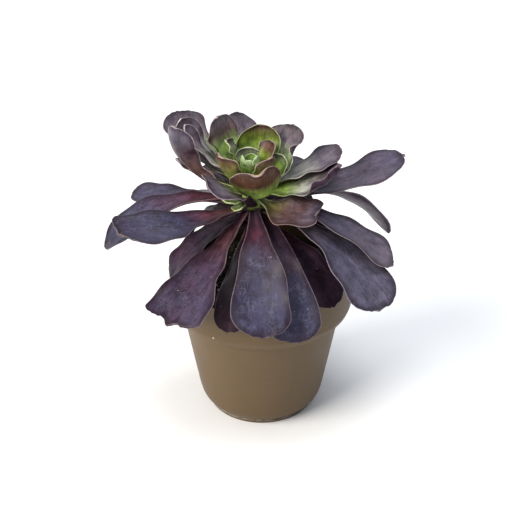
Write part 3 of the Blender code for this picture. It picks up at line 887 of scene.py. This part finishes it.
def pot_outside():
    """The outer wall as (radius, height) points.

    A small bead runs round the foot. The tapered wall is a straight line in radius against height. Near
    the foot it draws in by POT_CORNER times (1 - u) ** 6, where u runs from 0 at the foot to 1 at the top
    of the corner. A slanted shoulder then leads out to the collar.
    """
    u = np.linspace(0, 1, 22) ** 1.6
    height = POT_FOOT_HEIGHT + u * (POT_CORNER_TOP - POT_FOOT_HEIGHT)
    radius = POT_CREASE_RADIUS - POT_TAPER * (POT_CREASE - height) - POT_CORNER * (1 - u) ** 6
    bead, bead_top = POT_FOOT_RADIUS + POT_BEAD[0], POT_FOOT_HEIGHT - POT_BEAD[1]
    foot = [(POT_FOOT_RADIUS + POT_BEAD[0] / 2, 0), (bead, bead_top)]
    collar = [(POT_CREASE_RADIUS, POT_CREASE), (POT_COLLAR_RADIUS - POT_COLLAR_EASE[0], POT_COLLAR_FOOT),
              (POT_COLLAR_RADIUS, POT_COLLAR_FOOT + POT_COLLAR_EASE[1]),
              (POT_COLLAR_RADIUS + POT_LIP[0], POT_HEIGHT - POT_LIP[1]), (POT_RIM_RADIUS, POT_HEIGHT)]
    return np.vstack([foot, np.stack([radius, height], axis=1), collar])


# %% Turned rings


def eased(points, cut, steps=5):
    """A profile with its corners rounded: each corner becomes a curve between points up to cut away.

    The curve is (1 - t)^2 of the first point, 2t(1 - t) of the corner and t^2 of the last point.
    """
    before, corner, after = points[:-2], points[1:-1], points[2:]
    back = np.linalg.norm(before - corner, axis=1, keepdims=True)
    ahead = np.linalg.norm(after - corner, axis=1, keepdims=True)
    start = corner + (before - corner) * np.minimum(cut / back, 0.48)
    stop = corner + (after - corner) * np.minimum(cut / ahead, 0.48)
    t = np.linspace(0, 1, steps)[:, None, None]
    curve = (1 - t) ** 2 * start + 2 * t * (1 - t) * corner + t ** 2 * stop
    return np.vstack([points[:1], curve.transpose(1, 0, 2).reshape(-1, 2), points[-1:]])


def once_round(sides):
    """The angles of so many even steps round a circle."""
    return 2 * np.pi * np.arange(sides) / sides


def carried_round(profile, sides):
    """Rings of a turned shape: each (radius, height) point carried round the upright axis."""
    angle = once_round(sides)
    radius, height = profile[:, 0][:, None], profile[:, 1][:, None]
    return np.stack([radius * np.cos(angle), radius * np.sin(angle), height + 0 * angle], axis=-1)


floor = POT_RECESS + POT_WALL
ring = POT_FOOT_RADIUS - POT_FOOT_RING
outside = pot_outside()
inside = outside[::-1] - (POT_WALL, 0)
inside = np.vstack([inside[inside[:, 1] > floor + POT_FLOOR_EDGE[1]],
                    [(POT_FOOT_RADIUS - POT_FLOOR_EDGE[0], floor)]])
under = [(AXIS_RING, 0), (POT_HUB_RADIUS, 0), (POT_HUB_RADIUS + POT_HUB_SLOPE, POT_RECESS),
         (ring, POT_RECESS), (ring + POT_FOOT_SLOPE, 0)]
pot_profile = eased(np.vstack([under, outside, inside, [(AXIS_RING, floor)]]), POT_EASE)
print("pot profile:", len(pot_profile), "points")

# %% [markdown]
# ### Pot plastic
# The plastic is warm grey-brown and satin, and slightly cloudy. A few small things keep it from looking
# like a drawing: faint dust and a rare pale speck, and painted light and shade: painted shade on the inside
# of the wall above the mix, darkest next to the mix, a painted highlight along the bead of the foot, and
# painted shade under it. They could be painted on, but as noise kept to a range of heights they need no
# unwrapping and stay sharp from close by.

# %% Pot finish
INNER_SHADE_RADIUS = 0.0655


def pot_finish():
    """Moulded plastic with dust and specks, and painted shade and highlight, as layers over one another."""
    made, tree, shader = new_finish("pot_plastic_satin", 0.5, 0.25)
    place = place_in(tree)
    cloud = noise(tree, place, 22.0, 4.0, 0.6)
    colour = mixed(tree, ranged(tree, cloud, 0.3, 0.7), (0.092, 0.058, 0.0265), (0.100, 0.0645, 0.031))
    dust = ranged(tree, noise(tree, place, 260.0, 5.0, 0.7), 0.55, 0.75, 0.0, 0.12)
    colour = mixed(tree, dust, colour, (0.20, 0.175, 0.145))
    dot = specks(tree, place, 120.0, (0.04, 0.07), (0.96, 0.97))
    colour = mixed(tree, dot, colour, (0.7, 0.68, 0.64))
    height = height_of(tree, place)
    across = wire(tree, "VectorMath", {0: place, 1: (1, 1, 0)}, operation="MULTIPLY").outputs[0]
    radius = wire(tree, "VectorMath", {0: across}, operation="LENGTH").outputs["Value"]
    # painted shade: the inside of the wall above the mix is darkened, most next to the mix
    inner_shade = times(tree, ranged(tree, radius, INNER_SHADE_RADIUS, INNER_SHADE_RADIUS + 0.0005, 1.0, 0.0),
                  ranged(tree, height, 0.098, 0.1135, 1.0, 0.6))
    inner_shade = times(tree, inner_shade, ranged(tree, height, 0.0955, 0.0965))
    colour = mixed(tree, inner_shade, colour, (0.020, 0.015, 0.011))
    # painted shade: the foot under the bead is darkened
    foot = ranged(tree, height, 0.0016, 0.0022, 1.0, 0.0)
    colour = mixed(tree, times(tree, foot, 0.3), colour, (0.030, 0.018, 0.010))
    # painted highlight: a pale line along the top of the bead, broken up by noise
    bead_highlight = times(tree, ranged(tree, height, 0.0018, 0.0022), ranged(tree, height, 0.0030, 0.0034, 1.0, 0.0))
    bead_highlight = times(tree, bead_highlight, ranged(tree, noise(tree, place, 180.0, 4.0), 0.35, 0.6, 0.2, 0.8))
    colour = mixed(tree, bead_highlight, colour, (0.24, 0.21, 0.17))
    surface(tree, shader, colour, ranged(tree, cloud, 0.3, 0.7, 0.44, 0.56))
    under = bumped(tree, shader, noise(tree, place, 1400.0, 2.0), 0.00005, 0.35)
    bumped(tree, shader, noise(tree, place, 30.0, 2.0), 0.0004, 0.25, under)
    return made


# %% Pot
pot_rings = carried_round(pot_profile, POT_SIDES)
pot = put("pot_shell", *closed_skin(pot_rings, (0, 0, 0), (0, 0, floor)), pot_finish())
stands_for(pot, ["pot"])
print("pot:", len(pot.data.polygons), "faces")

# %% [markdown]
# ### Drain holes
# Water leaves the pot through a ring of round holes in the recess under its floor. A turned profile can't
# hold them, so they are cut out of the shell afterwards: the pegs are one mesh, a Boolean modifier takes
# them away from the pot, and only the result is kept.

# %% Drain holes
DRAIN_COUNT = 8
DRAIN_RADIUS = 4.0
DRAIN_CIRCLE = 25.0
DRAIN_SIDES = 32
PEG_FOOT = 1.0
SHARP_ANGLE = math.radians(50)


def copied(faces, size, count):
    """The faces of count copies of a shape of size points, when the copies' points follow each other."""
    return [[corner + size * k for corner in face] for k in range(count) for face in faces]


def cut_away(piece, cutter):
    """Take the cutter away from a piece, with sharp edges where it cut, and remove the cutter."""
    cut = piece.modifiers.new("drain_holes", "BOOLEAN")
    cut.operation, cut.solver, cut.object = "DIFFERENCE", "EXACT", cutter
    shaped = piece.evaluated_get(bpy.context.evaluated_depsgraph_get())
    mesh = bpy.data.meshes.new_from_object(shaped)
    piece.modifiers.clear()
    piece.data = mesh
    mesh.set_sharp_from_angle(angle=SHARP_ANGLE)
    bpy.data.objects.remove(cutter)


peg_top = PEG_FOOT + floor
peg_rings = carried_round(np.array([(DRAIN_RADIUS, PEG_FOOT), (DRAIN_RADIUS, peg_top)]), DRAIN_SIDES)
peg, peg_faces = closed_skin(peg_rings, (0, 0, PEG_FOOT), (0, 0, peg_top))
circle = carried_round(np.array([(DRAIN_CIRCLE, 0.0)]), DRAIN_COUNT)[0]
peg_points = (peg[None] + circle[:, None]).reshape(-1, 3)
pegs = put("drain_pegs", peg_points, copied(peg_faces, len(peg), DRAIN_COUNT), pot.active_material)
cut_away(pot, pegs)
print("pot with its drain holes:", len(pot.data.polygons), "faces")

# %% [markdown]
# ## Soil
# Potting mix is dark, open and crumbly: peat and bark fines with pale grains of perlite. One uneven skin
# gives the body of it, and loose grains lie on top. The skin's height is noise of three sizes added up,
# which is lighter than thousands of separate crumbs and looks the same from between the leaves.

# %% Soil shape
SOIL_TOP = 100.0
SOIL_SIDES = 200
SOIL_RINGS = 64
SOIL_GAP = 0.3
SOIL_AXIS_RING = 1.0
SOIL_RIM = 6


def soil_top(x, y):
    """Height of the crumbly top: broad humps, crumbs and fine grit, and a small mound round the stem."""
    flat_place = np.stack([x, y, 0 * x], axis=-1)
    mound = 1.4 * np.exp(-(np.hypot(x, y) / 18) ** 2)
    return (SOIL_TOP + 0.4 + mound + 0.9 * grain(flat_place, 17.0, 3) + 0.8 * grain(flat_place, 5.0, 4)
            + 0.45 * grain(flat_place, 2.2, 5))


edge = POT_COLLAR_RADIUS - POT_WALL
soil_floor = floor + SOIL_GAP
wall = inside[inside[:, 1] < SOIL_TOP - SOIL_RIM][::-1] + (-SOIL_GAP, SOIL_GAP)
body = carried_round(np.vstack([[(SOIL_AXIS_RING, soil_floor)], wall]), SOIL_SIDES)
top_radius = np.linspace(edge + 0.1, SOIL_AXIS_RING, SOIL_RINGS)
top = carried_round(np.stack([top_radius, 0 * top_radius], axis=1), SOIL_SIDES)
top[..., 2] = soil_top(top[..., 0], top[..., 1])
soil_points, soil_faces = closed_skin(np.vstack([body, top]), (0, 0, soil_floor), (0, 0, SOIL_TOP + 2))

# %% Soil


def soil_finish():
    """Peat and bark fines: nearly black, with brown crumbs."""
    made, tree, shader = new_finish("potting_mix_crumbs", 0.95)
    place = place_in(tree)
    crumb = any_of(tree, wire(tree, "TexVoronoi", {"Vector": place, "Scale": 420.0}).outputs["Color"])
    colour = mixed(tree, crumb, (0.007, 0.0055, 0.0045), (0.028, 0.018, 0.012))
    colour = mixed(tree, ranged(tree, noise(tree, place, 90.0), 0.4, 0.7), colour, (0.014, 0.010, 0.007))
    surface(tree, shader, colour, ranged(tree, crumb, 0.0, 1.0, 0.85, 1.0))
    bumped(tree, shader, noise(tree, place, 900.0, 4.0, 0.7), 0.0008, 0.8)
    return made


soil = put("soil_bed", soil_points, soil_faces, soil_finish())
stands_for(soil, ["soil"])
print("soil:", len(soil_faces), "faces")

# %% [markdown]
# ### Loose grains
# Round white perlite and flat chips of bark lie on the mix. Each kind is one mesh of many small balls, so
# the scene stays light, and no two grains are alike: each is pushed out of shape, stretched and turned.

# %% Loose grains
BALL_TILTS = np.radians([-54, -18, 18, 54])
BALL_SIDES = 7
GRAIN_EDGE = 3.5


def grain_shapes(points, count, sizes, flatness, rng):
    """Uneven copies of a ball, turned about the upright axis, and how large each is along each axis."""
    size = rng.uniform(*sizes, (count, 1, 1)) * rng.uniform(0.7, 1.3, (count, 1, 3)) * (1, 1, flatness)
    shapes = points[None] * rng.uniform(0.75, 1.2, (count, len(points), 1)) * size
    spin = rng.uniform(0, 2 * np.pi, count)
    cos, sin = np.cos(spin)[:, None], np.sin(spin)[:, None]
    x, y, z = np.moveaxis(shapes, -1, 0)
    return np.stack([x * cos - y * sin, x * sin + y * cos, z], axis=-1), size


def scattered(name, count, sizes, flatness, finish, seed):
    """Loose grains on the soil, all in one mesh: each is set down at a random place on the top."""
    rng = np.random.default_rng(seed)
    angle = once_round(BALL_SIDES)
    level, high = np.cos(BALL_TILTS), np.sin(BALL_TILTS)
    ball = np.stack([np.outer(level, np.cos(angle)), np.outer(level, np.sin(angle)),
                     high[:, None] + 0 * angle], axis=-1)
    points, faces = closed_skin(ball, (0, 0, -1), (0, 0, 1))
    grains, size = grain_shapes(points, count, sizes, flatness, rng)
    radius = np.sqrt(rng.uniform(0.03, 1, count)) * (edge - GRAIN_EDGE)
    where = rng.uniform(0, 2 * np.pi, count)
    x, y = radius * np.cos(where), radius * np.sin(where)
    grains += np.stack([x, y, soil_top(x, y) + size[:, 0, 2] * 0.35], axis=-1)[:, None]
    made = put(name, grains.reshape(-1, 3), copied(faces, len(points), count), finish)
    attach(made, "root")
    return made


def grain_finish(name, dark, pale):
    """A rough, blotchy finish between two colours."""
    made, tree, shader = new_finish(name, 0.9)
    spot = noise(tree, place_in(tree), 500.0, 4.0, 0.7)
    colour = mixed(tree, ranged(tree, spot, 0.35, 0.65), dark, pale)
    surface(tree, shader, colour, ranged(tree, spot, 0.3, 0.7, 0.8, 0.98))
    bumped(tree, shader, spot, 0.0004, 0.6)
    return made


white = grain_finish("perlite", (0.42, 0.40, 0.36), (0.72, 0.70, 0.66))
brown = grain_finish("bark_chips", (0.014, 0.010, 0.008), (0.075, 0.046, 0.028))
perlite = scattered("perlite_grains", 170, (0.5, 1.5), 0.9, white, 11)
bark = scattered("bark_chips", 420, (0.7, 2.2), 0.45, brown, 12)
print("grains:", len(perlite.data.polygons) + len(bark.data.polygons), "faces")

# %% [markdown]
# ## Stem
# The stem is woody and grey-brown, with the scars of fallen leaves wound round it in two sets of spirals.
# Its surface is a tube whose radius is the solid stem's, less a shallow dimple at each scar. The scars sit
# on a lattice: each next one is turned by the golden angle and a little higher, as the leaves were. Cutting
# them one by one would give the same marks with a hundred Booleans.

# %% Stem shape
STEM_FOOT = 60.0
STEM_TOP = 193.0
STEM_RADIUS = 8.0
STEM_SIDES = 96
STEM_STEPS = 260
SCAR_RISE = 0.85
SCARS_END = 196
SCAR_WIDTH = 3.0
SCAR_HEIGHT = 1.9
SCAR_DEPTH = 0.55
GOLDEN_ANGLE = math.radians(137.5)


def stem_rings(heights, sides):
    """Rings of the stem: the radius less a dimple at each scar, with a ridge round it and fine cracks.

    near is how far a point lies from each scar's middle, squared, in shares of the scar's size. The
    dimple falls off as the exponential of minus near ** 1.5, and the ridge is a bell curve just outside it.
    """
    angle = once_round(sides)
    heights = np.asarray(heights)[:, None]
    scars = np.arange(int((SCARS_END - SOIL_TOP) / SCAR_RISE))
    scar_angle, scar_height = scars * GOLDEN_ANGLE, SOIL_TOP + scars * SCAR_RISE
    turn = (angle[:, None] - scar_angle + np.pi) % (2 * np.pi) - np.pi
    aside = turn[None] * STEM_RADIUS / SCAR_WIDTH
    near = aside ** 2 + ((heights[..., None] - scar_height) / SCAR_HEIGHT) ** 2
    dimple = np.exp(-near ** 1.5).sum(axis=-1)
    ridge = 0.35 * np.exp(-((np.sqrt(near) - 1.15) / 0.3) ** 2).max(axis=-1)
    place = np.stack([np.cos(angle) * STEM_RADIUS + 0 * heights, np.sin(angle) * STEM_RADIUS + 0 * heights,
                      heights / 4 + 0 * angle], axis=-1)
    radius = stem_radius(heights) - SCAR_DEPTH * np.clip(dimple, 0, 1) + ridge + 0.25 * grain(place, 1.7, 8)
    middle_x, middle_y, middle_z = stem_middle(heights)
    return np.stack([middle_x + radius * np.cos(angle), middle_y + radius * np.sin(angle),
                     middle_z + 0 * angle], axis=-1)


# %% Stem


def stem_finish():
    """Corky bark: grey-brown with long fibres and olive blots, wine red and then green near the rosette."""
    made, tree, shader = new_finish("stem_bark_corky", 0.85)
    place = place_in(tree)
    fibre = noise(tree, stretched(tree, place, (900.0, 900.0, 160.0)), 1.0, 5.0, 0.65)
    colour = mixed(tree, ranged(tree, fibre, 0.3, 0.7), (0.018, 0.012, 0.009), (0.075, 0.055, 0.040))
    blot = ranged(tree, noise(tree, place, 130.0), 0.45, 0.7)
    colour = mixed(tree, times(tree, blot, 0.5), colour, (0.045, 0.042, 0.028))
    height = height_of(tree, place)
    colour = mixed(tree, ranged(tree, height, 0.146, 0.154), colour, (0.030, 0.010, 0.013))
    colour = mixed(tree, ranged(tree, height, 0.160, 0.167), colour, (0.24, 0.32, 0.07))
    surface(tree, shader, colour, ranged(tree, fibre, 0.3, 0.7, 0.75, 0.95))
    bumped(tree, shader, fibre, 0.0005, 0.7)
    return made


stem_heights = np.concatenate([[STEM_FOOT], np.linspace(SOIL_TOP - 4, STEM_TOP, STEM_STEPS)])
stem_skin = closed_skin(stem_rings(stem_heights, STEM_SIDES), (0, 0, STEM_FOOT), stem_middle(STEM_TOP + 0.6))
stem = put("stem_bark_tube", *stem_skin, stem_finish())
stands_for(stem, ["stem"])
print("stem:", len(stem.data.polygons), "faces")

# %% [markdown]
# ## Table top
# The last piece is only there to stand the plant on. It is one flat disc, wide enough that its edge is out
# of sight from any side.

# %% Table top
TABLE_RADIUS = 9000.0
TABLE_SIDES = 128

table_finish, _, table_shader = new_finish("table_top_white", 0.6)
table_shader.inputs["Base Color"].default_value = (0.92, 0.92, 0.92, 1)
table_edge = carried_round(np.array([(TABLE_RADIUS, 0.0)]), TABLE_SIDES)[0]
table = put("table_top", table_edge, [list(range(TABLE_SIDES))], table_finish)
print("table top:", TABLE_RADIUS * MM, "m in radius")
